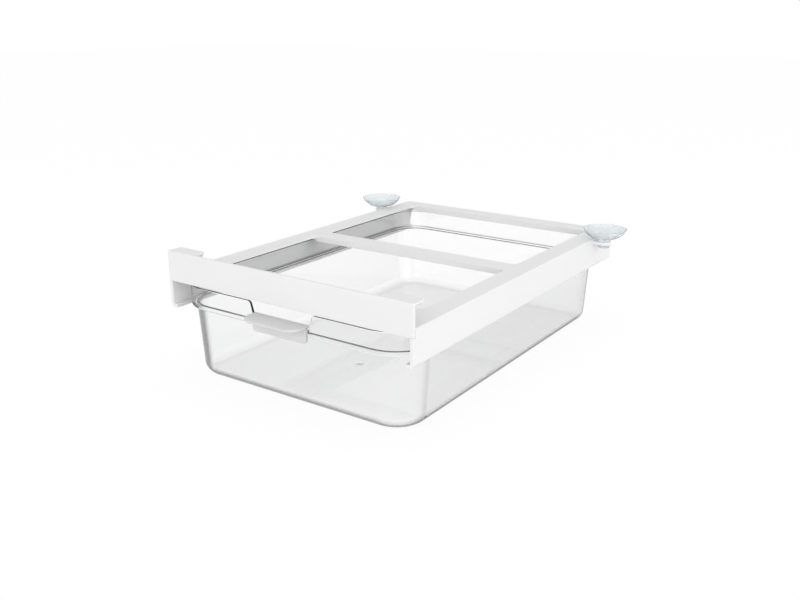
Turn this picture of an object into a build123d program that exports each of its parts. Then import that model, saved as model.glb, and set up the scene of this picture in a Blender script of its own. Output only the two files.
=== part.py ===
"""Under-shelf drawer organizer: a channel frame that hooks on a shelf and a clear drawer that slides in it.

Millimetres. X is across the drawer, the front faces -Y and Z is up. The origin is the centre of the
object's footprint, on the surface under the drawer.
"""
from build123d import *
import os
from math import radians, tan

# Clear drawer
body_height = 64.0          # base to the underside of the shoulder
shoulder_thickness = 3.0
shoulder_reach = 4.3        # how far the shoulder stands out of the tapered body
rim_rise = 16.0             # from the shoulder's ledge to the rim
body_wall = 2.2
rim_wall = 2.2
floor_thickness = 2.5
body_draft = 3.4            # degrees
front_corner = 31.4         # plan radii of the body under the shoulder
back_corner = 26.0
base_radius = 11.5
rim_round = 0.8
gate_radius = 3.75          # moulding mark in the drawer's floor
gate_depth = 0.5
gate_y = 102.0              # from the front face

# Notch in the drawer's front rim
notch_top_half = 32.0
notch_low_half = 27.8
notch_corner = 3.0

# Finger handle
handle_reach = 17.5         # in front of the drawer's front face
handle_half = 28.5
handle_plate = 2.0
handle_corner = 12.0
handle_rise = 7.0           # from the ledge to the plate's top
handle_foot = 2.0           # thickness of the foot on the ledge
handle_foot_depth = 3.4     # how far the foot reaches behind the rim wall
skirt_thickness = 2.8
skirt_half = 27.8
skirt_drop = 12.5           # below the plate
skirt_corner = 3.0
notch_fit = 0.2             # handle's web to the rounded low corners of the notch

# Channel frame
frame_width = 250.0
frame_depth = 361.4
rail_height = 30.5
rail_wall = 3.0
rail_flange = 2.3
flange_width = 19.1
lip_thickness = 3.2
rail_low_corner = 4.0
rail_top_corner = 1.0
web_width = 12.0            # curved web in the rear corner of each channel
web_drop = 20.0
web_arc_in = 0.32           # middle point of the web's arc, as shares of its width and drop
web_arc_down = 0.36
web_thickness = 2.5

# Running gaps between the drawer and the frame
lip_gap = 0.3               # shoulder over the lips
side_gap = 0.5              # shoulder to the rail wall
body_gap = 0.8              # tapered body to the lips
panel_gap = 1.0             # rim under the front panel
back_gap = 7.6              # rim to the frame's rear end

# Front panel with its hook lips
panel_thickness = 2.5
panel_height = 26.2
panel_round = 0.8
hook_width = 29.5
hook_depth = 15.0           # from the panel's front face
hook_thickness = 2.0
pad_thickness = 1.7
pad_inset = 1.5
tab_width = 14.0            # tabs on the panel's back that hold the front bar
tab_length = 6.0
tab_thickness = 2.0
tab_spacing = 80.0
tab_count = 3

# Crossbars
bar_depth = 20.0
front_bar_depth = 38.0
front_window_length = 129.0
bar_plate = 2.3
bar_edge_depth = 5.5        # plate and down-turned edge together
bar_edge_wall = 2.0
window_corner = 5.0
tongue_reach = 9.0          # under the rail's flange
tongue_root = 8.0
tongue_thickness = 2.0
tongue_inset = 3.0
peg_radius = 2.5
peg_height = 1.2
peg_fit = 0.1
tab_fit = 0.1               # slot round a panel tab

# Suction cups and the ears that hold them
cup_overhang = 8.8          # cup axis outside the rail
cup_back = 41.1             # cup axis from the frame's rear end
cup_radius = 21.15
cup_rim_rise = 10.3         # rim over the frame's top
cup_mid_radius = 14.5
cup_mid_drop = 7.5          # below the rim
cup_foot_radius = 5.6
cup_foot_clear = 0.2        # start of the bowl over the frame's top
cup_edge = 0.6
cup_wall = 1.3
cup_mid_in = 0.55           # middle of the bowl's inner arc off the outer one, in walls
cup_mid_up = 0.85
neck_radius = 2.6
neck_fit = 0.1
seat_gap = 0.15             # ear to the cup above it and to the head below it
head_radius = 5.7
head_height = 3.0
head_round = 1.0
ear_half = 6.8
ear_thickness = 3.5
ear_drop = 2.0              # ear's top below the frame's top
ear_slot = 4.4              # mouth that the neck snaps through

# Places that follow from the sizes
front_y = handle_reach - (frame_depth + handle_reach) / 2
back_y = front_y + frame_depth
ledge_z = body_height + shoulder_thickness
rim_z = ledge_z + rim_rise
lip_top = body_height - lip_gap
rail_bottom = lip_top - lip_thickness
frame_top = rail_bottom + rail_height
panel_bottom = rim_z + panel_gap
panel_top = panel_bottom + panel_height
hook_under = panel_top - hook_thickness
half_width = frame_width / 2
wall_inner = half_width - rail_wall
flange_inner = half_width - flange_width
shoulder_half = wall_inner - side_gap
body_half = shoulder_half - shoulder_reach
lip_inner = body_half + body_gap
body_front = front_y + shoulder_reach
body_back = back_y - back_gap - shoulder_reach
tab_middle = frame_top - bar_plate - tab_thickness / 2 - tab_fit
plate_z = ledge_z + handle_rise - handle_plate
web_half = notch_low_half - notch_corner - notch_fit
bar_front = front_y + panel_thickness
front_bar_back = bar_front + front_bar_depth
middle_bar_front = front_bar_back + front_window_length
middle_bar_back = middle_bar_front + bar_depth
rear_bar_front = back_y - bar_depth
cup_x = half_width + cup_overhang
cup_y = back_y - cup_back
cup_rim_z = frame_top + cup_rim_rise
bowl_z = frame_top + cup_foot_clear
ear_top = frame_top - ear_drop
ear_bottom = ear_top - ear_thickness
sides = {"left": -1, "right": 1}


def drawer_plan(z, grow):
    """Rounded rectangle of the drawer at height z, grown outwards from the body's line."""
    with BuildSketch(Plane.XY.offset(z)) as plan:
        with Locations((0, (body_front + body_back) / 2)):
            Rectangle(2 * (body_half + grow), body_back - body_front + 2 * grow)
        fillet(plan.vertices().group_by(Axis.Y)[0], front_corner + grow)
        fillet(plan.vertices().group_by(Axis.Y)[-1], back_corner + grow)
    return plan.sketch


def front_plane(y):
    """Plane facing the front, with its x along X and its y along Z."""
    return Plane(origin=(0, y, 0), x_dir=(1, 0, 0), z_dir=(0, -1, 0))


def drafted(z):
    """Growth of the body's line at height z, nothing at the shoulder's underside."""
    return -(body_height - z) * tan(radians(body_draft))


def save(piece, name):
    """Label a finished piece and write its file."""
    piece.part.label = name
    export_step(piece.part, f"parts/{name}.step")


def block(low, high, mode=Mode.ADD):
    """Box between two corners."""
    size = [high[i] - low[i] for i in range(3)]
    middle = [(high[i] + low[i]) / 2 for i in range(3)]
    with Locations(tuple(middle)):
        Box(*size, mode=mode)


os.makedirs("parts", exist_ok=True)


# Drawer: a tapered tub, a shoulder that rides on the lips, and a straight rim above it
with BuildPart() as drawer_hollow:
    floor_line = drawer_plan(floor_thickness, drafted(floor_thickness) - body_wall)
    ledge_line = drawer_plan(ledge_z, drafted(ledge_z) - body_wall)
    loft([floor_line, ledge_line], ruled=True)
    fillet(drawer_hollow.edges().group_by(Axis.Z)[0], base_radius - body_wall)
    extrude(drawer_plan(ledge_z, shoulder_reach - rim_wall), amount=rim_rise)

with BuildPart() as drawer:
    loft([drawer_plan(0, drafted(0)), drawer_plan(body_height, 0)], ruled=True)
    fillet(drawer.edges().group_by(Axis.Z)[0], base_radius)
    extrude(drawer_plan(body_height, shoulder_reach), amount=shoulder_thickness + rim_rise)
    add(drawer_hollow.part, mode=Mode.SUBTRACT)
    fillet(drawer.edges().group_by(Axis.Z)[-1], rim_round)
    with BuildSketch(front_plane(front_y)) as notch:
        with BuildLine():
            Polyline(
                (-notch_low_half, ledge_z),
                (notch_low_half, ledge_z),
                (notch_top_half, rim_z),
                (notch_top_half + 2 * notch_corner, rim_z),
                (notch_top_half + 2 * notch_corner, rim_z + notch_corner),
                (-notch_top_half - 2 * notch_corner, rim_z + notch_corner),
                (-notch_top_half - 2 * notch_corner, rim_z),
                (-notch_top_half, rim_z),
                close=True,
            )
        make_face()
        low_corners = notch.vertices().group_by(Axis.Y)[0]
        rim_corners = notch.vertices().group_by(Axis.Y)[1].sort_by(Axis.X)[1:-1]
        fillet(low_corners + rim_corners, notch_corner)
    extrude(amount=-rim_wall, mode=Mode.SUBTRACT)
    with Locations((0, front_y + gate_y, floor_thickness)):
        Cylinder(
            gate_radius,
            gate_depth,
            align=(Align.CENTER, Align.CENTER, Align.MAX),
            mode=Mode.SUBTRACT,
        )
save(drawer, "drawer")


# Handle: finger plate, web and foot in the notch, and a skirt over the shoulder's front edge
with BuildPart() as drawer_handle:
    with BuildSketch(Plane.XY.offset(plate_z)) as finger_plate:
        with Locations((0, front_y + rim_wall)):
            Rectangle(
                2 * handle_half,
                handle_reach + rim_wall,
                align=(Align.CENTER, Align.MAX),
            )
        fillet(finger_plate.vertices().group_by(Axis.Y)[0], handle_corner)
    extrude(amount=handle_plate)
    block((-web_half, front_y, ledge_z), (web_half, front_y + rim_wall, plate_z))
    foot_back = front_y + rim_wall + handle_foot_depth
    block((-web_half, front_y, ledge_z), (web_half, foot_back, ledge_z + handle_foot))
    with BuildSketch(front_plane(front_y)) as skirt:
        with Locations((0, plate_z)):
            Rectangle(2 * skirt_half, skirt_drop, align=(Align.CENTER, Align.MAX))
        fillet(skirt.vertices().group_by(Axis.Y)[0], skirt_corner)
    extrude(amount=skirt_thickness)
save(drawer_handle, "drawer_handle")


# Side rails: C-shaped channels, each with a curved rear web and an ear for its suction cup
peg_spots = [
    bar_front + front_bar_depth / 2,
    middle_bar_front + bar_depth / 2,
    rear_bar_front + bar_depth / 2,
]
peg_x = flange_inner + tongue_reach / 2

for name, side in sides.items():
    with BuildPart() as rail:
        with BuildSketch(front_plane(front_y)) as section:
            with BuildLine():
                Polyline(
                    (side * flange_inner, frame_top),
                    (side * half_width, frame_top),
                    (side * half_width, rail_bottom),
                    (side * lip_inner, rail_bottom),
                    (side * lip_inner, lip_top),
                    (side * wall_inner, lip_top),
                    (side * wall_inner, frame_top - rail_flange),
                    (side * flange_inner, frame_top - rail_flange),
                    close=True,
                )
            make_face()
            by_x = section.vertices().sort_by(Axis.X)
            outer = (by_x[:2] if side < 0 else by_x[-2:]).sort_by(Axis.Y)
            fillet(outer[0], rail_low_corner)
            fillet(outer[-1], rail_top_corner)
        extrude(amount=-frame_depth)
        # the panel seats on a step at the front
        block(
            (min(side * flange_inner, side * half_width), front_y, panel_bottom),
            (max(side * flange_inner, side * half_width), bar_front, frame_top),
            mode=Mode.SUBTRACT,
        )
        # concave web between the wall and the flange at the rear end
        under = frame_top - rail_flange
        with BuildSketch(front_plane(back_y)) as web:
            with BuildLine():
                Line((side * wall_inner, under), (side * (wall_inner - web_width), under))
                ThreePointArc(
                    (side * (wall_inner - web_width), under),
                    (side * (wall_inner - web_width * web_arc_in), under - web_drop * web_arc_down),
                    (side * wall_inner, under - web_drop),
                )
                Line((side * wall_inner, under - web_drop), (side * wall_inner, under))
            make_face()
        extrude(amount=web_thickness)
        # ear with a hole for the cup's neck and a mouth towards the rear
        with BuildSketch(Plane.XY.offset(ear_bottom)) as ear:
            with Locations((side * cup_x, cup_y)):
                Circle(ear_half)
            with Locations((side * (half_width + cup_x) / 2, cup_y)):
                Rectangle(cup_overhang, 2 * ear_half)
            with Locations((side * cup_x, cup_y)):
                Circle(neck_radius + neck_fit, mode=Mode.SUBTRACT)
                Rectangle(
                    ear_slot,
                    2 * ear_half,
                    align=(Align.CENTER, Align.MIN),
                    mode=Mode.SUBTRACT,
                )
        extrude(amount=ear_thickness)
        # blind holes for the pegs of the crossbars
        with Locations(*[(side * peg_x, y, under) for y in peg_spots]):
            Cylinder(
                peg_radius + peg_fit,
                peg_height + peg_fit,
                align=(Align.CENTER, Align.CENTER, Align.MIN),
                mode=Mode.SUBTRACT,
            )
    save(rail, f"{name}_rail")


# Crossbars: plates with down-turned edges, and tongues that peg into the rails
def window(low, high):
    """Rounded window between two bars, cut in the active sketch."""
    with Locations((0, (low + high) / 2)):
        RectangleRounded(2 * flange_inner, high - low, window_corner, mode=Mode.SUBTRACT)


front_window = (front_bar_back, middle_bar_front)
rear_window = (middle_bar_back, rear_bar_front)
bars = {
    "front_bar": (bar_front, front_bar_back, [front_window]),
    "middle_bar": (middle_bar_front, middle_bar_back, [front_window, rear_window]),
    "rear_bar": (rear_bar_front, back_y, [rear_window]),
}

for (name, (low_y, high_y, cut_by)), peg_y in zip(bars.items(), peg_spots):
    with BuildPart() as bar:
        with BuildSketch(Plane.XY.offset(frame_top - bar_plate)) as plate:
            with Locations((0, (low_y + high_y) / 2)):
                Rectangle(2 * flange_inner, high_y - low_y)
            for low, high in cut_by:
                # the strip of the window next to the bar keeps only its rounded corners
                strip_low = low if low == high_y else high - window_corner
                with Locations((0, strip_low + window_corner / 2)):
                    Rectangle(2 * flange_inner, window_corner)
                window(low, high)
        extrude(amount=bar_plate)
        for edge_y in (low_y, high_y - bar_edge_wall):
            block(
                (-flange_inner, edge_y, frame_top - bar_edge_depth),
                (flange_inner, edge_y + bar_edge_wall, frame_top - bar_plate),
            )
        tongue_top = frame_top - rail_flange
        for side in sides.values():
            ends = sorted((side * (flange_inner - tongue_root), side * (flange_inner + tongue_reach)))
            block(
                (ends[0], low_y + tongue_inset, tongue_top - tongue_thickness),
                (ends[1], high_y - tongue_inset, tongue_top),
            )
            with Locations((side * peg_x, peg_y, tongue_top)):
                Cylinder(peg_radius, peg_height, align=(Align.CENTER, Align.CENTER, Align.MIN))
        if name == "front_bar":
            # slots for the panel's tabs
            with Locations((0, low_y + bar_edge_wall / 2, tab_middle)):
                with GridLocations(tab_spacing, 1, tab_count, 1):
                    Box(
                        tab_width + 2 * tab_fit,
                        bar_edge_wall,
                        tab_thickness + 2 * tab_fit,
                        mode=Mode.SUBTRACT,
                    )
    save(bar, name)


# Front panel: a plain band with a hook lip at each top end and tabs behind it
with BuildPart() as front_panel:
    block((-half_width, front_y, panel_bottom), (half_width, bar_front, panel_top))
    for side in sides.values():
        ends = sorted((side * half_width, side * (half_width - hook_width)))
        block((ends[0], bar_front, hook_under), (ends[1], front_y + hook_depth, panel_top))
    fillet(front_panel.edges().filter_by(Axis.X).group_by(Axis.Y)[0], panel_round)
    fillet(front_panel.edges().filter_by(Axis.Z).group_by(Axis.Y)[-1], panel_round)
    with Locations((0, bar_front + tab_length / 2, tab_middle)):
        with GridLocations(tab_spacing, 1, tab_count, 1):
            Box(tab_width, tab_length, tab_thickness)
save(front_panel, "front_panel")


# Hook pads: soft strips under the lips
for name, side in sides.items():
    with BuildPart() as pad:
        ends = sorted((side * (half_width - pad_inset), side * (half_width - hook_width)))
        block(
            (ends[0], bar_front, hook_under - pad_thickness),
            (ends[1], front_y + hook_depth - pad_inset, hook_under),
        )
        fillet(pad.edges().filter_by(Axis.Z).group_by(Axis.Y)[-1], panel_round)
    save(pad, f"{name}_hook_pad")


# Suction cups: a thin bowl, a neck through the ear and a mushroom head under it
for name, side in sides.items():
    axis = Axis((side * cup_x, cup_y, 0), (0, 0, 1))
    profile_plane = Plane(origin=(side * cup_x, cup_y, 0), x_dir=(1, 0, 0), z_dir=(0, -1, 0))
    seat_z = ear_top + seat_gap
    head_z = ear_bottom - seat_gap
    mid_z = cup_rim_z - cup_mid_drop
    with BuildPart() as cup:
        with BuildSketch(profile_plane) as profile:
            with BuildLine():
                Polyline(
                    (0, head_z - head_height),
                    (head_radius - head_round, head_z - head_height),
                    (head_radius, head_z - head_height + head_round),
                    (head_radius, head_z - head_round),
                    (head_radius - head_round, head_z),
                    (neck_radius, head_z),
                    (neck_radius, seat_z),
                    (cup_foot_radius, seat_z),
                    (cup_foot_radius, bowl_z),
                )
                ThreePointArc(
                    (cup_foot_radius, bowl_z),
                    (cup_mid_radius, mid_z),
                    (cup_radius, cup_rim_z),
                )
                Line((cup_radius, cup_rim_z), (cup_radius - cup_edge, cup_rim_z))
                ThreePointArc(
                    (cup_radius - cup_edge, cup_rim_z),
                    (cup_mid_radius - cup_wall * cup_mid_in, mid_z + cup_wall * cup_mid_up),
                    (cup_foot_radius - cup_wall, bowl_z + cup_wall),
                )
                Line((cup_foot_radius - cup_wall, bowl_z + cup_wall), (0, bowl_z + cup_wall))
                Line((0, bowl_z + cup_wall), (0, head_z - head_height))
            make_face()
        revolve(axis=axis)
    save(cup, f"{name}_suction_cup")
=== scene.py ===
import math
import bpy
import numpy as np
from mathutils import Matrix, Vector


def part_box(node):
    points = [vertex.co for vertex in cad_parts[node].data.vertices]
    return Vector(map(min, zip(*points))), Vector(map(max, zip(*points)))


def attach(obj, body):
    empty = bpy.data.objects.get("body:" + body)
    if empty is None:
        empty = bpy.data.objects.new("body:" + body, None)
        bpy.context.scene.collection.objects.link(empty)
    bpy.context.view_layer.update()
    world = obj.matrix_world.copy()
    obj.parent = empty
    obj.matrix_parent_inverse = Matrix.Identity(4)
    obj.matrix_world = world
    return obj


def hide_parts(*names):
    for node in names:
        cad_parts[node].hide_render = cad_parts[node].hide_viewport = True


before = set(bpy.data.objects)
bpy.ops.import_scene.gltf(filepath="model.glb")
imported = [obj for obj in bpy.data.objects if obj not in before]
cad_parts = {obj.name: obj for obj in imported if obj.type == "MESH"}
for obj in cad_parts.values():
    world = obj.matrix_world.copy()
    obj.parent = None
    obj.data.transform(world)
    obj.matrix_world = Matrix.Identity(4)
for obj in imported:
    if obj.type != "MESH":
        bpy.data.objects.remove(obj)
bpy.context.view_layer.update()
mm = 0.001
print("frame loaded:", len(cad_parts), "nodes")


# measures read from the frame, in mm
def boxOf(node):
    low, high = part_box(node)
    return np.array(low) / mm, np.array(high) / mm


railLow, railHigh = boxOf("right_rail")
panelLow, panelHigh = boxOf("front_panel")
drawerLow, drawerHigh = boxOf("drawer")
handleLow, handleHigh = boxOf("drawer_handle")
cupLow, cupHigh = boxOf("right_suction_cup")
padLow, padHigh = boxOf("right_hook_pad")
halfWidth = panelHigh[0]
frontY, backY = railLow[1], railHigh[1]
frameTop, railBottom = railHigh[2], railLow[2]
sides = {"left": -1, "right": 1}


def arc(centre, radius, start, end, steps):
    # points on a circle about centre while the angle runs evenly from start to end, in degrees
    angle = np.radians(np.linspace(start, end, steps + 1))
    return np.array(centre) + radius * np.stack([np.cos(angle), np.sin(angle)], 1)


def roundedCorners(points, radii, steps=4, closed=True):
    # each corner becomes the arc that touches both its sides, turned from its first tangent point to its last
    points, radii = np.array(points, float), np.array(radii, float)
    before, after = np.roll(points, 1, 0), np.roll(points, -1, 0)
    toBefore = (before - points) / np.linalg.norm(before - points, axis=1)[:, None]
    toAfter = (after - points) / np.linalg.norm(after - points, axis=1)[:, None]
    half = np.arccos(np.clip((toBefore * toAfter).sum(1), -1, 1)) / 2
    middle = toBefore + toAfter
    middle /= np.linalg.norm(middle, axis=1)[:, None]
    centre = points + middle * (radii / np.sin(half))[:, None]
    first = points + toBefore * (radii / np.tan(half))[:, None] - centre
    last = points + toAfter * (radii / np.tan(half))[:, None] - centre
    sweep = np.arctan2(first[:, 0] * last[:, 1] - first[:, 1] * last[:, 0], (first * last).sum(1))
    turn = sweep[:, None] * np.linspace(0, 1, steps + 1)
    x = first[:, :1] * np.cos(turn) - first[:, 1:] * np.sin(turn) + centre[:, :1]
    y = first[:, :1] * np.sin(turn) + first[:, 1:] * np.cos(turn) + centre[:, 1:]
    loop = np.stack([x, y], 2)
    if closed:
        return loop.reshape(-1, 2)
    return np.vstack([points[:1], loop[1:-1].reshape(-1, 2), points[-1:]])


def ringFaces(rings, count):
    # quads between neighbouring rings of count points, first ring lowest and counter-clockwise from above
    ring, point = np.meshgrid(np.arange(rings - 1), np.arange(count), indexing="ij")
    nextPoint = (point + 1) % count
    corners = [ring * count + point, ring * count + nextPoint]
    corners += [(ring + 1) * count + nextPoint, (ring + 1) * count + point]
    return np.stack(corners, 2).reshape(-1, 4).tolist()


def outwards(loop):
    # unit normals of a counter-clockwise loop: the tangent between a point's neighbours, turned right
    tangent = np.roll(loop, -1, 0) - np.roll(loop, 1, 0)
    tangent /= np.linalg.norm(tangent, axis=1)[:, None]
    return np.stack([tangent[:, 1], -tangent[:, 0]], 1)


def prism(loop, low, high, lowEdge=0.4, highEdge=0.4, steps=3, along="z"):
    # a flat outline carried from low to high; near each end it shrinks along its normals on a quarter circle
    loop = np.array(loop, float)
    area = (loop[:, 0] * np.roll(loop[:, 1], -1) - np.roll(loop[:, 0], -1) * loop[:, 1]).sum()
    lowEdge = np.broadcast_to(lowEdge, len(loop))
    highEdge = np.broadcast_to(highEdge, len(loop))
    if area < 0:
        loop, lowEdge, highEdge = loop[::-1], lowEdge[::-1], highEdge[::-1]
    # a corner without a radius is one point, so that the shrunk outline doesn't cross itself there
    apart = np.linalg.norm(loop - np.roll(loop, 1, 0), axis=1) > 0.03
    loop, lowEdge, highEdge = loop[apart], lowEdge[apart], highEdge[apart]
    normal = outwards(loop)
    turn = np.linspace(0, np.pi / 2, steps + 1)[:, None]
    inset = np.vstack([(1 - np.sin(turn)) * lowEdge, (1 - np.sin(turn[::-1])) * highEdge])
    height = np.vstack([low + (1 - np.cos(turn)) * lowEdge, high - (1 - np.cos(turn[::-1])) * highEdge])
    flat = loop[None] - normal[None] * inset[:, :, None]
    if along == "z":
        points = np.stack([flat[..., 0], flat[..., 1], height], 2)
    elif along == "y":  # outline in x and z, carried forwards, so the height runs against y
        points = np.stack([flat[..., 0], -height, flat[..., 1]], 2)
    count = len(loop)
    faces = ringFaces(len(height), count)
    faces.append(list(range(count))[::-1])
    faces.append(list(range((len(height) - 1) * count, len(height) * count)))
    return points.reshape(-1, 3), faces


def turned(profile, centre, count=96):
    # a profile of radius and height, from the axis back to the axis, turned once about the upright
    # through centre
    angle = np.linspace(0, 2 * np.pi, count, endpoint=False)
    rings = profile[1:-1]
    x = centre[0] + rings[:, :1] * np.cos(angle)
    y = centre[1] + rings[:, :1] * np.sin(angle)
    z = np.repeat(rings[:, 1:], count, 1)
    poles = [(centre[0], centre[1], profile[0, 1]), (centre[0], centre[1], profile[-1, 1])]
    points = np.vstack([np.stack([x, y, z], 2).reshape(-1, 3), poles])
    faces = ringFaces(len(rings), count)
    spot = np.arange(count)
    after = (spot + 1) % count
    top = (len(rings) - 1) * count
    faces += np.stack([after, spot, np.full(count, len(points) - 2)], 1).tolist()
    faces += np.stack([top + spot, top + after, np.full(count, len(points) - 1)], 1).tolist()
    return points, faces


def rectangle(lowX, highX, lowY, highY, radius=0.5, steps=3):
    corners = [(lowX, lowY), (highX, lowY), (highX, highY), (lowX, highY)]
    return roundedCorners(corners, np.broadcast_to(radius, 4), steps)


def makePiece(name, surfaces, material, body, nodes, sharp=40):
    # one object from closed surfaces in mm, with its faces' areas weighting the normals
    allPoints, allFaces, offset = [], [], 0
    for points, faces in surfaces:
        allPoints.append(points)
        allFaces += [[corner + offset for corner in face] for face in faces]
        offset += len(points)
    mesh = bpy.data.meshes.new(name)
    mesh.from_pydata((np.vstack(allPoints) * mm).tolist(), [], allFaces)
    mesh.polygons.foreach_set("use_smooth", np.ones(len(mesh.polygons), bool))
    mesh.set_sharp_from_angle(angle=math.radians(sharp))
    mesh.materials.append(material)
    piece = bpy.data.objects.new(name, mesh)
    bpy.context.scene.collection.objects.link(piece)
    weighted = piece.modifiers.new("faceNormals", "WEIGHTED_NORMAL")
    weighted.keep_sharp = True
    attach(piece, body)
    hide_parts(*nodes)
    return piece


def addGroup(name, sockets):
    group = bpy.data.node_groups.new(name, "ShaderNodeTree")
    for label, direction, kind, value in sockets:
        socket = group.interface.new_socket(label, in_out=direction, socket_type=kind)
        if value is not None:
            socket.default_value = value
    return group


def mouldedGrainGroup():
    # fine grain and a slow unevenness: noise of the place on the piece, at two scales, about a half
    group = addGroup("mouldedGrain", [
        ("Vector", "INPUT", "NodeSocketVector", None),
        ("Grain Scale", "INPUT", "NodeSocketFloat", 2600.0),
        ("Flow Scale", "INPUT", "NodeSocketFloat", 18.0),
        ("Base Roughness", "INPUT", "NodeSocketFloat", 0.4),
        ("Roughness Spread", "INPUT", "NodeSocketFloat", 0.06),
        ("Height", "OUTPUT", "NodeSocketFloat", None),
        ("Flow", "OUTPUT", "NodeSocketFloat", None),
        ("Roughness", "OUTPUT", "NodeSocketFloat", None),
    ])
    nodes, links = group.nodes, group.links
    source, result = nodes.new("NodeGroupInput"), nodes.new("NodeGroupOutput")
    grain, flow = nodes.new("ShaderNodeTexNoise"), nodes.new("ShaderNodeTexNoise")
    grain.inputs["Detail"].default_value = 3.0
    flow.inputs["Detail"].default_value = 2.0
    for noise, scale in ((grain, "Grain Scale"), (flow, "Flow Scale")):
        links.new(source.outputs["Vector"], noise.inputs["Vector"])
        links.new(source.outputs[scale], noise.inputs["Scale"])
    centred = nodes.new("ShaderNodeMath")
    centred.operation = "SUBTRACT"
    centred.inputs[1].default_value = 0.5
    spread = nodes.new("ShaderNodeMath")
    spread.operation = "MULTIPLY_ADD"
    links.new(flow.outputs["Fac"], centred.inputs[0])
    links.new(centred.outputs[0], spread.inputs[0])
    links.new(source.outputs["Roughness Spread"], spread.inputs[1])
    links.new(source.outputs["Base Roughness"], spread.inputs[2])
    links.new(grain.outputs["Fac"], result.inputs["Height"])
    links.new(flow.outputs["Fac"], result.inputs["Flow"])
    links.new(spread.outputs[0], result.inputs["Roughness"])
    return group


grainGroup = mouldedGrainGroup()


def edgeCurve(nodes, links, facing, points):
    # amount of the edge's shade over how far the surface is turned away, 0 straight on and 1 edge on
    curve = nodes.new("ShaderNodeFloatCurve")
    line = curve.mapping.curves[0].points
    for spot in points[1:-1]:
        line.new(*spot)
    line[0].location, line[len(line) - 1].location = points[0], points[-1]
    curve.mapping.update()
    links.new(facing, curve.inputs["Value"])
    return curve.outputs[0]


def plasticMaterial(name, look):
    # colour runs between two shades with the slow noise, and grain lifts the surface a little
    material = bpy.data.materials.new(name)
    material.use_nodes = True
    nodes, links = material.node_tree.nodes, material.node_tree.links
    shader = nodes["Principled BSDF"]
    place = nodes.new("ShaderNodeTexCoord")
    grain = nodes.new("ShaderNodeGroup")
    grain.node_tree = grainGroup
    grain.inputs["Grain Scale"].default_value = look["grainScale"]
    grain.inputs["Flow Scale"].default_value = look["flowScale"]
    grain.inputs["Base Roughness"].default_value = look["roughness"]
    grain.inputs["Roughness Spread"].default_value = look["roughnessSpread"]
    links.new(place.outputs["Object"], grain.inputs["Vector"])
    shade = nodes.new("ShaderNodeMix")
    shade.data_type = "RGBA"
    shade.inputs["A"].default_value = (*look["lowShade"], 1)
    shade.inputs["B"].default_value = (*look["highShade"], 1)
    links.new(grain.outputs["Flow"], shade.inputs["Factor"])
    colour = shade.outputs["Result"]
    if "edgeShade" in look:  # painted shade: walls darken where seen edge on, for dark grazing reflections and partly the wall's thickness
        edge = nodes.new("ShaderNodeLayerWeight")
        edge.inputs["Blend"].default_value = look["edgeBlend"]
        amount = edgeCurve(nodes, links, edge.outputs["Facing"], look["edgeCurve"])
        if "bendCurve" in look:  # round corners and edges (partly their thickness) and the rim's top towards the rear take the painted shade much earlier
            bend, blend = nodes.new("ShaderNodeAttribute"), nodes.new("ShaderNodeMix")
            bend.attribute_name = "bend"
            links.new(bend.outputs["Fac"], blend.inputs["Factor"])
            links.new(amount, blend.inputs["A"])
            links.new(edgeCurve(nodes, links, edge.outputs["Facing"], look["bendCurve"]), blend.inputs["B"])
            amount = blend.outputs["Result"]
        if "edgeDepth" in look:  # light that has run about inside the wall keeps its strength
            path, near, shown = (nodes.new(kind) for kind in
                                 ("ShaderNodeLightPath", "ShaderNodeMath", "ShaderNodeMath"))
            near.operation, shown.operation = "LESS_THAN", "MULTIPLY"
            near.inputs[1].default_value = look["edgeDepth"]
            links.new(path.outputs["Ray Depth"], near.inputs[0])
            links.new(near.outputs[0], shown.inputs[0])
            links.new(amount, shown.inputs[1])
            amount = shown.outputs[0]
        dark = nodes.new("ShaderNodeMix")
        dark.data_type = "RGBA"
        dark.inputs["B"].default_value = (*look["edgeShade"], 1)
        links.new(amount, dark.inputs["Factor"])
        links.new(colour, dark.inputs["A"])
        colour = dark.outputs["Result"]
    links.new(colour, shader.inputs["Base Color"])
    links.new(grain.outputs["Roughness"], shader.inputs["Roughness"])
    bump = nodes.new("ShaderNodeBump")
    bump.inputs["Strength"].default_value = look["bump"]
    bump.inputs["Distance"].default_value = look["bumpDepth"]
    links.new(grain.outputs["Height"], bump.inputs["Height"])
    links.new(bump.outputs["Normal"], shader.inputs["Normal"])
    for socket, value in look["sockets"].items():
        shader.inputs[socket].default_value = value
    if "absorption" in look:  # light fades along its way in the plastic, so thick edges are darker
        inside = nodes.new("ShaderNodeVolumeAbsorption")
        inside.inputs["Color"].default_value = (*look["absorptionColour"], 1)
        inside.inputs["Density"].default_value = look["absorption"]
        links.new(inside.outputs[0], nodes["Material Output"].inputs["Volume"])
    return material


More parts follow.
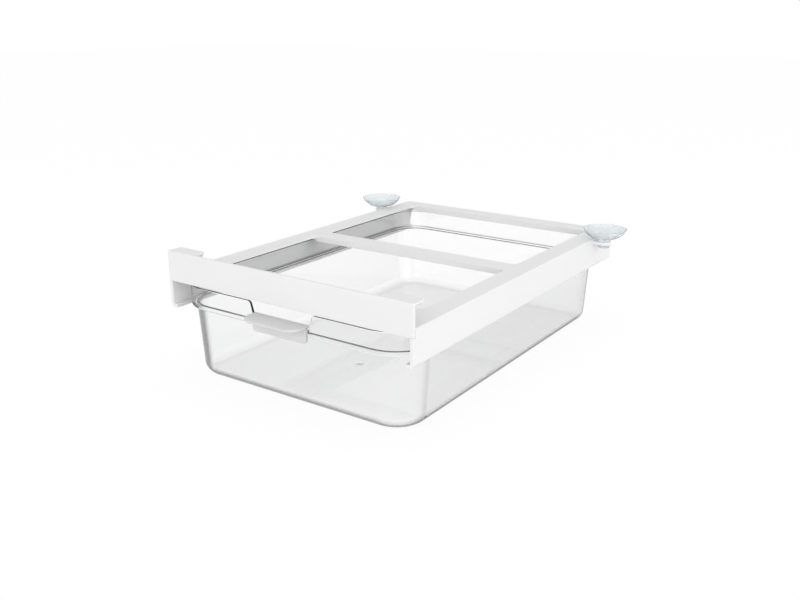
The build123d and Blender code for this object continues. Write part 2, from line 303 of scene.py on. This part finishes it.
whitePlastic = plasticMaterial("whitePlastic", {
    "lowShade": (0.835, 0.835, 0.835), "highShade": (0.865, 0.865, 0.865),
    "grainScale": 2600, "flowScale": 14, "roughness": 0.42, "roughnessSpread": 0.08,
    "bump": 0.12, "bumpDepth": 0.00008,
    "sockets": {"IOR": 1.5, "Specular IOR Level": 0.35},
})
clearPlastic = plasticMaterial("clearPlastic", {
    "lowShade": (0.985, 0.987, 0.987), "highShade": (0.995, 0.997, 0.997),
    # the edge colour and its curves paint shade onto the drawer's walls where they are seen edge on
    "edgeShade": (0.03, 0.032, 0.032), "edgeBlend": 0.5,
    "edgeCurve": [(0, 0), (0.25, 0.012), (0.48, 0.17), (0.6, 0.27), (0.69, 0.37), (0.8, 0.6), (1, 1)],
    "bendCurve": [(0, 0), (0.26, 0.03), (0.38, 0.27), (0.48, 0.66), (0.58, 0.9), (0.8, 0.98), (1, 1)],
    "edgeDepth": 3.5, "absorption": 4.0, "absorptionColour": (0.10, 0.115, 0.115),
    "grainScale": 220, "flowScale": 9, "roughness": 0.025, "roughnessSpread": 0.02,
    "bump": 0.02, "bumpDepth": 0.0001,
    "sockets": {"IOR": 1.49, "Transmission Weight": 1.0},
})
frostedPlastic = plasticMaterial("frostedPlastic", {
    "lowShade": (0.84, 0.84, 0.84), "highShade": (0.87, 0.87, 0.87),
    "grainScale": 1800, "flowScale": 40, "roughness": 0.38, "roughnessSpread": 0.08,
    "bump": 0.2, "bumpDepth": 0.0001,
    "sockets": {"IOR": 1.5, "Transmission Weight": 0.2},
})
cupPlastic = plasticMaterial("cupPlastic", {
    "lowShade": (0.86, 0.90, 0.918), "highShade": (0.90, 0.93, 0.945),
    # the edge colour and curve paint shade onto the cups' walls where they are seen edge on
    "edgeShade": (0.45, 0.52, 0.55), "edgeBlend": 0.5,
    "edgeCurve": [(0, 0), (0.5, 0.1), (0.8, 0.5), (1, 1)],
    "grainScale": 300, "flowScale": 60, "roughness": 0.05, "roughnessSpread": 0.04,
    "bump": 0.05, "bumpDepth": 0.0001,
    "sockets": {"IOR": 1.3, "Transmission Weight": 0.6},
})
padRubber = plasticMaterial("padRubber", {
    "lowShade": (0.62, 0.62, 0.62), "highShade": (0.68, 0.68, 0.68),
    "grainScale": 3200, "flowScale": 60, "roughness": 0.75, "roughnessSpread": 0.1,
    "bump": 0.3, "bumpDepth": 0.0001,
    "sockets": {"IOR": 1.5, "Specular IOR Level": 0.25},
})
print("materials made")


# the front panel with its two hook lips
panel = {"thickness": 2.5, "edge": 0.5, "corner": 0.8, "lipWidth": 29.5, "lipThickness": 2.0, "lipCorner": 2.5,
         "lipEdge": 0.6, "hiddenEdge": 0.03}


def buildPanel():
    face = rectangle(-halfWidth, halfWidth, panelLow[2], panelHigh[2], panel["corner"], 4)
    back = frontY + panel["thickness"]
    surfaces = [prism(face, -back, -frontY, panel["edge"], panel["edge"], along="y")]
    start = back - panel["edge"]
    for side in sides.values():
        outer, inner = side * halfWidth, side * (halfWidth - panel["lipWidth"])
        low, high = min(outer, inner), max(outer, inner)
        outline = roundedCorners(
            [(low, start), (high, start), (high, panelHigh[1]), (low, panelHigh[1])],
            [0, 0, panel["lipCorner"], panel["lipCorner"]], 5)
        atPanel = outline[:, 1] < start + 0.2
        soft = np.where(atPanel, panel["hiddenEdge"], panel["lipEdge"])
        surfaces.append(prism(outline, panelHigh[2] - panel["lipThickness"], panelHigh[2], soft, soft))
    return makePiece("frontPanel", surfaces, whitePlastic, "channel_frame", ["front_panel"])


buildPanel()


# the two side rails, each with a web at its rear end and an ear for the cup
rail = {"wall": 3.0, "flange": 2.3, "flangeWidth": 19.1, "lipTop": 63.7, "lipInner": 118.0,
        "lowCorner": 4.0, "topCorner": 1.2, "thinCorner": 0.5, "insideCorner": 1.0, "endEdge": 0.35,
        "webWidth": 12.0, "webDrop": 20.0, "webThickness": 2.5, "webBulge": (2.0, 3.0), "webSink": 1.5,
        "webRise": 0.8, "webInset": 0.3, "webEdge": 0.3, "flangeCorner": 0.3, "hiddenEdge": 0.05}
ear = {"half": 6.8, "thickness": 3.5, "drop": 2.0, "hole": 2.7, "mouth": 2.2, "edge": 0.6, "root": 1.0}
panelSeat = frontY + panel["thickness"]
flangeInner = halfWidth - rail["flangeWidth"]
wallInner = halfWidth - rail["wall"]
under = frameTop - rail["flange"]
cupCentre = (cupLow[:2] + cupHigh[:2]) / 2


def earOutline():
    # a tab with a round end about the cup's axis; a mouth leads from its rear edge to the neck's hole
    x, y = cupCentre
    edgeAngle = math.degrees(math.acos(ear["mouth"] / ear["half"]))
    holeAngle = math.degrees(math.acos(ear["mouth"] / ear["hole"]))
    return np.vstack([
        [(halfWidth - ear["root"], y - ear["half"])],
        arc((x, y), ear["half"], -90, edgeAngle, 24),
        arc((x, y), ear["hole"], holeAngle, holeAngle - 360 + (180 - 2 * holeAngle), 28),
        [(x - ear["mouth"], y + ear["half"]), (halfWidth - ear["root"], y + ear["half"])],
    ])


def buildRail(name, side):
    seam = panelLow[2]
    lower = roundedCorners(
        [(halfWidth, seam), (wallInner, seam), (wallInner, rail["lipTop"]),
         (rail["lipInner"], rail["lipTop"]), (rail["lipInner"], railBottom), (halfWidth, railBottom)],
        [0, 0, rail["insideCorner"], rail["thinCorner"], rail["thinCorner"], rail["lowCorner"]], 6)
    upper = roundedCorners(
        [(halfWidth, frameTop), (flangeInner, frameTop), (flangeInner, under), (wallInner, under),
         (wallInner, seam), (halfWidth, seam)],
        [rail["topCorner"], rail["flangeCorner"], rail["thinCorner"], rail["insideCorner"], 0, 0], 5)
    webTop, webFoot = (wallInner - rail["webWidth"], under), (wallInner, under - rail["webDrop"])
    sweep = np.linspace(0, 1, 17)[:, None]
    curve = (1 - sweep) ** 2 * np.array(webTop) + sweep ** 2 * np.array(webFoot)
    curve = curve + 2 * sweep * (1 - sweep) * (np.array((wallInner, under)) - rail["webBulge"])
    hidden, crown = wallInner + rail["webSink"], under + rail["webRise"]
    web = np.vstack([[(hidden, crown), (webTop[0], crown)], curve, [(hidden, webFoot[1])]])
    mirror = np.array([side, 1])
    surfaces = [
        prism(lower * mirror, -backY, -frontY, rail["endEdge"], rail["endEdge"], along="y"),
        prism(upper * mirror, -backY, -panelSeat, rail["endEdge"], rail["hiddenEdge"], along="y"),
        prism(web * mirror, -backY + rail["webInset"], -backY + rail["webThickness"],
              rail["hiddenEdge"], rail["webEdge"], along="y"),
        prism(earOutline() * mirror, frameTop - ear["drop"] - ear["thickness"], frameTop - ear["drop"],
              ear["edge"], ear["edge"]),
    ]
    return makePiece(f"{name}Rail", surfaces, whitePlastic, "channel_frame", [f"{name}_rail"])


for name, side in sides.items():
    buildRail(name, side)
print("rails made")


# the three crossbars, each a plate with two edge strips and a tongue at each end
bar = {"plate": 2.3, "edgeDepth": 5.5, "edgeWall": 2.0, "windowCorner": 5.0, "round": 0.45,
       "frontDepth": 38.0, "depth": 20.0, "frontWindow": 129.0, "fade": 0.5, "stripCorner": 0.6,
       "tongueReach": 9.0, "tongueRoot": 8.0, "tongueThickness": 2.0, "tongueInset": 3.0,
       "tongueCorner": 1.0, "tongueEdge": 0.3, "hiddenEdge": 0.005, "overlap": 0.01, "tongueGap": 0.02}
bars = {"front": (panelSeat, bar["frontDepth"]),
        "middle": (panelSeat + bar["frontDepth"] + bar["frontWindow"], bar["depth"]),
        "rear": (backY - bar["depth"], bar["depth"])}


def buildBar(name, low, depth):
    # plan outline: straight edges, with a quarter circle into the rail at each corner that bounds a window
    high = low + depth
    w, reach = bar["windowCorner"], flangeInner
    lowSide = [(-reach, low), (reach, low)]
    if name != "front":
        lowSide = np.vstack([arc((w - reach, low - w), w, 180, 90, 8), arc((reach - w, low - w), w, 90, 0, 8)])
    highSide = [(reach, high), (-reach, high)]
    if name != "rear":
        highSide = np.vstack([arc((reach - w, high + w), w, 0, -90, 8),
                              arc((w - reach, high + w), w, 270, 180, 8)])
    outline = np.vstack([lowSide, highSide])
    # the top's rounding fades out where the corner runs into the rail, and there is none under the panel
    soft = np.clip(bar["fade"] * (reach - np.abs(outline[:, 0])), bar["hiddenEdge"], bar["round"])
    soft = np.where(outline[:, 1] < panelSeat + bar["overlap"], bar["hiddenEdge"], soft)
    plateLow = frameTop - bar["plate"]
    surfaces = [prism(outline, plateLow, frameTop, bar["hiddenEdge"], soft)]
    for edgeLow in (low, high - bar["edgeWall"]):
        strip = rectangle(-reach, reach, edgeLow, edgeLow + bar["edgeWall"], bar["stripCorner"])
        surfaces.append(prism(strip, frameTop - bar["edgeDepth"], plateLow + bar["overlap"],
                              bar["round"], bar["overlap"]))
    for side in sides.values():
        ends = sorted((side * (reach - bar["tongueRoot"]), side * (reach + bar["tongueReach"])))
        tongue = rectangle(*ends, low + bar["tongueInset"], high - bar["tongueInset"],
                           bar["tongueCorner"])
        surfaces.append(prism(tongue, plateLow - bar["tongueThickness"], plateLow - bar["tongueGap"],
                              bar["tongueEdge"], bar["tongueGap"]))
    return makePiece(f"{name}Bar", surfaces, whitePlastic, "channel_frame", [f"{name}_bar"])


for name, (low, depth) in bars.items():
    buildBar(name, low, depth)
print("crossbars made")


# the soft pads under the hook lips
pad = {"corner": 2.0, "edge": 0.5, "hiddenEdge": 0.05}


def buildPad(name, side):
    outline = rectangle(*sorted((side * padLow[0], side * padHigh[0])), padLow[1], padHigh[1], pad["corner"], 5)
    surfaces = [prism(outline, padLow[2], padHigh[2], pad["edge"], pad["hiddenEdge"])]
    return makePiece(f"{name}HookPad", surfaces, padRubber, "channel_frame", [f"{name}_hook_pad"])


for name, side in sides.items():
    buildPad(name, side)


# the clear drawer; gate is the round mark on the middle line of its floor, nearer the front
drawer = {"bodyHeight": 64.0, "ledge": 67.0, "rim": 83.0, "reach": 4.3, "bodyWall": 2.2, "rimWall": 2.2,
          "floor": 2.5, "draft": 3.4, "frontCorner": 31.4, "backCorner": 26.0, "baseRadius": 11.5,
          "smallRound": 0.8, "stepRound": 0.6, "notchTop": 32.0, "notchLow": 27.8, "notchCorner": 3.0,
          "notchEnd": 12.0, "leftOver": 0.3,
          "gateRadius": 3.75, "gateDepth": 0.5, "gateSlope": 0.3, "gateEnd": 3.0, "gateAway": 102.0,
          "cornerSteps": 28, "sideSteps": 24, "profileSteps": 8, "bendFade": 3, "baseFade": 2,
          "rimPaintedShade": 1.0, "rimPaintedShadeFrom": -60.0, "rimPaintedShadeOver": 100.0, "gateBend": 0.6}


def drafted(z):
    return -(drawer["bodyHeight"] - z) * math.tan(math.radians(drawer["draft"]))


def drawerPath():
    # the body's plan line: straight sides and four arcs, with its normals and the rim's height at each point
    half = drawerHigh[0] - drawer["reach"]
    front, back = drawerLow[1] + drawer["reach"], drawerHigh[1] - drawer["reach"]
    sideLength = back - front - drawer["frontCorner"] - drawer["backCorner"]
    notch = roundedCorners(
        [(0, drawer["ledge"]), (drawer["notchLow"], drawer["ledge"]), (drawer["notchTop"], drawer["rim"]),
         (drawer["notchTop"] + drawer["notchEnd"], drawer["rim"])],
        [0, drawer["notchCorner"], drawer["notchCorner"], 0], 10, closed=False)[1:]
    low = np.linspace((0, drawer["ledge"]), notch[0], 5)[:-1]
    ramp = np.linspace(notch[10], notch[11], 6)[1:-1]
    high = np.linspace(notch[-1], (half - drawer["frontCorner"], drawer["rim"]), 5)[1:-1]
    notch = np.vstack([low, notch[:11], ramp, notch[11:], high])
    straight = np.vstack([notch[:0:-1] * (-1, 1), notch])
    spots, normals = [np.stack([straight[:, 0], np.full(len(straight), front)], 1)], []
    normals.append(np.tile((0.0, -1.0), (len(straight), 1)))
    bends = [np.zeros(len(straight))]
    corners = [(1, front, drawer["frontCorner"], -90), (1, back, drawer["backCorner"], 0),
               (-1, back, drawer["backCorner"], 90), (-1, front, drawer["frontCorner"], 180)]
    for sign, line, radius, start in corners:
        inward = 1 if line == front else -1
        around = arc((0, 0), 1, start, start + 90, drawer["cornerSteps"])
        spots.append(np.array((sign * (half - radius), line + inward * radius)) + radius * around)
        normals.append(around)
        fromEnd = np.minimum(np.arange(len(around)), np.arange(len(around))[::-1])
        bends.append(np.clip(fromEnd / drawer["bendFade"], 0, 1))
        if start in (-90, 0, 90):  # the straight side that follows, up to the next arc
            heading = math.radians(start + 90)
            along = np.array((-math.sin(heading), math.cos(heading)))
            rest = sideLength if start else 2 * (half - drawer["backCorner"])
            steps = np.linspace(0, rest, drawer["sideSteps"] + 1)[1:-1, None]
            spots.append(spots[-1][-1] + along * steps)
            normals.append(np.tile(around[-1], (len(steps), 1)))
            bends.append(np.zeros(len(steps)))
    spots, normals = np.vstack(spots), np.vstack(normals)
    rim = np.concatenate([straight[:, 1], np.full(len(spots) - len(straight), drawer["rim"])])
    return spots, normals, rim, np.concatenate(bends)


def buildDrawer():
    # rings: the plan line pushed out along its normals by the profile's growth, at the profile's height;
    # over the ledge the height is squeezed to the rim's, and where the rim dips to the ledge, leftOver stays
    small = drawer["smallRound"]
    base, wall = drafted(0), drawer["bodyWall"]
    insideRadius = drawer["baseRadius"] - wall
    insideFoot = drafted(drawer["floor"]) - wall
    corners = [(base - drawer["baseRadius"] - 1, 0), (base, 0), (0, drawer["bodyHeight"]),
               (drawer["reach"], drawer["bodyHeight"]), (drawer["reach"], drawer["rim"]),
               (drawer["reach"] - drawer["rimWall"], drawer["rim"]),
               (drawer["reach"] - drawer["rimWall"], drawer["ledge"]),
               (drafted(drawer["ledge"]) - wall, drawer["ledge"]),
               (insideFoot, drawer["floor"]), (insideFoot - insideRadius - 1, drawer["floor"])]
    step = drawer["stepRound"]
    radii = [0, drawer["baseRadius"], step, small, small, small, step, small, insideRadius, 0]
    profile = roundedCorners(corners, radii, drawer["profileSteps"], closed=False)
    spots, normals, rim, cornerBend = drawerPath()
    rise = drawer["rim"] - drawer["ledge"] + drawer["leftOver"]
    share = (rim - drawer["ledge"] + drawer["leftOver"]) / rise
    growth, height = profile[:, :1], profile[:, 1:]
    over = np.maximum(height - drawer["ledge"], 0)
    z = np.minimum(height, drawer["ledge"]) + over * share
    flat = spots[None] + normals[None] * growth[:, :, None]
    points = np.concatenate([flat, np.broadcast_to(z, flat.shape[:2])[:, :, None]], 2)
    # the floor closes on the gate mark: circles about it, each point in the direction of the wall's point
    gateCentre = np.array((0, frontY + drawer["gateAway"]))
    away = flat[-1] - gateCentre
    away /= np.linalg.norm(away, axis=1)[:, None]
    gate = roundedCorners([(drawer["gateRadius"] + drawer["gateEnd"], 0), (drawer["gateRadius"], 0),
                           (drawer["gateRadius"] - drawer["gateSlope"], -drawer["gateDepth"]),
                           (0, -drawer["gateDepth"])],
                          [0, 0.25, 0.2, 0], 4, closed=False)[:-1]
    circles = gateCentre + away[None] * gate[:, :1, None]
    depth = np.broadcast_to((drawer["floor"] + gate[:, 1])[:, None, None], (*circles.shape[:2], 1))
    points = np.concatenate([points, np.concatenate([circles, depth], 2)])
    count = len(spots)
    faces = ringFaces(len(points), count)
    faces.append(list(range(count))[::-1])
    faces.append(list(range((len(points) - 1) * count, len(points) * count)))
    piece = makePiece("drawer", [(points.reshape(-1, 3), faces)], clearPlastic, "drawer_bin",
                      ["drawer"])
    # the attribute is each spot's share of painted edge shade: one on the outside of the corners and of the base
    # edge, and on the rim's top towards the rear, a painted dark line for the bars' reflected undersides; it
    # fades into the flats; the gate mark has its own share
    bend = np.zeros((len(points), count))
    outside, fillet, rimTop = 14, 9, slice(31, 43)  # rings of the profile
    bend[:outside] = cornerBend
    # painted shade on the rim's top, growing towards the rear
    bend[rimTop] = drawer["rimPaintedShade"] * np.clip(
        (spots[:, 1] - drawer["rimPaintedShadeFrom"]) / drawer["rimPaintedShadeOver"], 0, 1)
    bend[-len(gate) + 2:] = drawer["gateBend"]
    fade = np.clip((fillet - np.arange(fillet + 1)) / drawer["baseFade"], 0, 1)[:, None]
    bend[:fillet + 1] = np.maximum(bend[:fillet + 1], fade)
    piece.data.attributes.new("bend", "FLOAT", "POINT").data.foreach_set("value", bend.ravel())
    piece.visible_shadow = False  # light passes through a clear tub
    return piece


buildDrawer()
print("drawer made")


# the drawer's handle: a plate over a skirt, with a web and a foot in the notch
handle = {"half": 28.5, "plate": 2.0, "lift": 7.0, "corner": 12.0, "edge": 0.7, "webHalf": 24.6, "foot": 2.0,
          "skirtHalf": 27.8, "skirtThickness": 2.8, "skirtCorner": 3.0, "backCorner": 0.8, "joint": 0.6,
          "webCorner": 0.5, "webOver": 0.5, "webLow": 0.35, "footInset": 0.4, "footCorner": 1.5, "footLow": 0.31,
          "skirtEdge": 0.3, "footEdge": 0.4, "hiddenEdge": 0.05}


def buildHandle():
    plateTop = drawer["ledge"] + handle["lift"]
    plateLow = plateTop - handle["plate"]
    half, back = handle["half"], frontY + drawer["rimWall"]
    plan = roundedCorners([(-half, handleLow[1]), (half, handleLow[1]), (half, back), (-half, back)],
                          [handle["corner"], handle["corner"], handle["backCorner"], handle["backCorner"]], 14)
    side, joint = handle["skirtHalf"], handle["joint"]
    skirt = roundedCorners(
        [(-side, handleLow[2]), (side, handleLow[2]), (side, plateLow + joint), (-side, plateLow + joint)],
        [handle["skirtCorner"], handle["skirtCorner"], joint, joint], 6)
    web = rectangle(-handle["webHalf"], handle["webHalf"], frontY, back, handle["webCorner"])
    foot = rectangle(-handle["webHalf"], handle["webHalf"], frontY + handle["footInset"], handleHigh[1],
                     handle["footCorner"])
    ledge, hidden = drawer["ledge"], handle["hiddenEdge"]
    surfaces = [
        prism(plan, plateLow, plateTop, handle["edge"], handle["edge"], 4),
        prism(skirt, -frontY, -frontY + handle["skirtThickness"], handle["skirtEdge"], joint, along="y"),
        prism(web, ledge + handle["webLow"], plateLow + handle["webOver"], hidden, hidden),
        prism(foot, ledge + handle["footLow"], ledge + handle["foot"], hidden, handle["footEdge"]),
    ]
    return makePiece("drawerHandle", surfaces, frostedPlastic, "drawer_bin",
                     ["drawer_handle"])


buildHandle()
print("handle made")


# the suction cups: bowl, neck and head are one turned profile, with the neck in the rail's ear
cup = {"foot": 5.6, "bowlLift": 0.2, "mid": 14.5, "midDrop": 7.5, "edge": 0.6, "wall": 1.3,
       "midIn": 0.55, "midUp": 0.85, "neck": 2.6, "head": 5.7, "headHeight": 3.0, "gap": 0.15,
       "headLowRound": 1.2, "headTopRound": 1.0, "neckRound": 0.4}


def throughThree(first, middle, last, steps):
    # the circle through three points, walked from the first to the last
    first, middle, last = (np.array(p, float) for p in (first, middle, last))
    matrix = 2 * np.array([middle - first, last - first])
    centre = np.linalg.solve(matrix, [middle @ middle - first @ first, last @ last - first @ first])
    radius = np.linalg.norm(first - centre)
    ends = [math.degrees(math.atan2(*(p - centre)[::-1])) for p in (first, last)]
    return arc(centre, radius, ends[0], ends[1], steps)


def buildCup(name, side):
    centre = cupCentre * (side, 1)
    rimZ, rimRadius = cupHigh[2], (cupHigh[0] - cupLow[0]) / 2
    bowlZ, midZ = frameTop + cup["bowlLift"], rimZ - cup["midDrop"]
    seatZ = frameTop - ear["drop"] + cup["gap"]
    headZ = frameTop - ear["drop"] - ear["thickness"] - cup["gap"]
    inner = cup["foot"] - cup["wall"]
    outside = throughThree((cup["foot"], bowlZ), (cup["mid"], midZ), (rimRadius, rimZ), 24)
    inside = throughThree((rimRadius - cup["edge"], rimZ),
                          (cup["mid"] - cup["wall"] * cup["midIn"], midZ + cup["wall"] * cup["midUp"]),
                          (inner, bowlZ + cup["wall"]), 24)
    head = roundedCorners([(0, headZ - cup["headHeight"]), (cup["head"], headZ - cup["headHeight"]),
                           (cup["head"], headZ), (cup["neck"], headZ), (cup["neck"], seatZ),
                           (cup["foot"], seatZ), (cup["foot"], bowlZ)],
                          [0, cup["headLowRound"], cup["headTopRound"], *[cup["neckRound"]] * 3, 0], 5,
                          closed=False)
    profile = np.vstack([head[:-1], outside, inside, [(0, bowlZ + cup["wall"])]])
    surfaces = [turned(profile, centre)]
    piece = makePiece(f"{name}SuctionCup", surfaces, cupPlastic, f"{name}_cup",
                      [f"{name}_suction_cup"], 50)
    piece.visible_shadow = False
    return piece


for name, side in sides.items():
    buildCup(name, side)
print("suction cups made")


# the floor, the room, the lamps and the camera
stage = {"floorSize": 6.0, "floorGlow": 0.91, "floorColour": 0.10, "bounceColour": 0.89,
         "worldGlow": 0.80, "ceilingShade": 0.4, "ceilingLow": 0.25, "ceilingHigh": 0.65}


def seenDirectly(nodes, links):
    # one where the camera, a mirror or clear plastic looks at the surface, and nothing elsewhere
    path = nodes.new("ShaderNodeLightPath")
    total = path.outputs["Is Camera Ray"]
    for ray in ("Is Glossy Ray", "Is Transmission Ray"):
        larger = nodes.new("ShaderNodeMath")
        larger.operation = "MAXIMUM"
        links.new(total, larger.inputs[0])
        links.new(path.outputs[ray], larger.inputs[1])
        total = larger.outputs[0]
    return total


def buildFloor():
    mesh = bpy.data.meshes.new("floor")
    size = stage["floorSize"]
    corners = [(-size, -size, 0), (size, -size, 0), (size, size, 0), (-size, size, 0)]
    mesh.from_pydata(corners, [], [(0, 1, 2, 3)])
    floor = bpy.data.objects.new("floor", mesh)
    bpy.context.scene.collection.objects.link(floor)
    material = bpy.data.materials.new("paleFloor")
    material.use_nodes = True
    nodes, links = material.node_tree.nodes, material.node_tree.links
    nodes.clear()
    output, mix = nodes.new("ShaderNodeOutputMaterial"), nodes.new("ShaderNodeMixShader")
    bounce, shown = nodes.new("ShaderNodeBsdfDiffuse"), nodes.new("ShaderNodeBsdfDiffuse")
    glow, both = nodes.new("ShaderNodeEmission"), nodes.new("ShaderNodeAddShader")
    bounce.inputs["Color"].default_value = (*[stage["bounceColour"]] * 3, 1)
    shown.inputs["Color"].default_value = (*[stage["floorColour"]] * 3, 1)
    glow.inputs["Strength"].default_value = stage["floorGlow"]
    links.new(seenDirectly(nodes, links), mix.inputs["Fac"])
    links.new(bounce.outputs[0], mix.inputs[1])
    links.new(glow.outputs[0], both.inputs[0])
    links.new(shown.outputs[0], both.inputs[1])
    links.new(both.outputs[0], mix.inputs[2])
    links.new(mix.outputs[0], output.inputs["Surface"])
    mesh.materials.append(material)


def buildWorld():
    world = bpy.data.worlds.new("studio")
    world.use_nodes = True
    bpy.context.scene.world = world
    nodes, links = world.node_tree.nodes, world.node_tree.links
    nodes.clear()
    output, mix = nodes.new("ShaderNodeOutputWorld"), nodes.new("ShaderNodeMixShader")
    lit, seen = nodes.new("ShaderNodeBackground"), nodes.new("ShaderNodeBackground")
    lit.inputs["Color"].default_value = (1, 1, 1, 1)
    lit.inputs["Strength"].default_value = stage["worldGlow"]
    # the room is white all round and grey overhead, which draws the clear plastic's edges
    direction, height = nodes.new("ShaderNodeTexCoord"), nodes.new("ShaderNodeSeparateXYZ")
    overhead, room = nodes.new("ShaderNodeMapRange"), nodes.new("ShaderNodeMix")
    overhead.interpolation_type = "SMOOTHSTEP"
    overhead.inputs["From Min"].default_value = stage["ceilingLow"]
    overhead.inputs["From Max"].default_value = stage["ceilingHigh"]
    room.data_type = "RGBA"
    room.inputs["A"].default_value = (1, 1, 1, 1)
    room.inputs["B"].default_value = (*[stage["ceilingShade"]] * 3, 1)
    links.new(direction.outputs["Generated"], height.inputs[0])
    links.new(height.outputs["Z"], overhead.inputs["Value"])
    links.new(overhead.outputs["Result"], room.inputs["Factor"])
    links.new(room.outputs["Result"], seen.inputs["Color"])
    links.new(seenDirectly(nodes, links), mix.inputs["Fac"])
    links.new(lit.outputs[0], mix.inputs[1])
    links.new(seen.outputs[0], mix.inputs[2])
    links.new(mix.outputs[0], output.inputs["Surface"])


lamps = {
    "rightLamp": {"place": (1.9, -0.3, 0.6), "aim": (0, 0, 0.05), "size": 1.6, "watts": 11.5},
    "frontLamp": {"place": (0.3, -2.0, 0.6), "aim": (0, 0, 0.05), "size": 1.6, "watts": 9.5},
}


def buildLamp(name, lamp):
    light = bpy.data.lights.new(name, "AREA")
    light.shape, light.size, light.energy = "SQUARE", lamp["size"], lamp["watts"]
    holder = bpy.data.objects.new(name, light)
    bpy.context.scene.collection.objects.link(holder)
    holder.location = lamp["place"]
    away = np.array(lamp["place"]) - np.array(lamp["aim"])
    turn = math.atan2(away[1], away[0]) + math.pi / 2
    holder.rotation_euler = (math.acos(away[2] / np.linalg.norm(away)), 0, turn)


camera = {"place": (0.444764, -0.649906, 0.301561), "azimuth": 34.72, "lookDown": 18.16, "lens": 39.57}


def buildCamera():
    data = bpy.data.cameras.new("camera")
    data.sensor_width, data.lens = 36, camera["lens"]
    holder = bpy.data.objects.new("camera", data)
    bpy.context.scene.collection.objects.link(holder)
    holder.location = camera["place"]
    holder.rotation_euler = (math.radians(90 - camera["lookDown"]), 0, math.radians(camera["azimuth"]))
    bpy.context.scene.camera = holder


buildFloor()
buildWorld()
for name, lamp in lamps.items():
    buildLamp(name, lamp)
buildCamera()
scene = bpy.context.scene
scene.view_settings.view_transform = "Standard"
scene.cycles.max_bounces = 20
scene.cycles.transmission_bounces = 20
print("stage set")
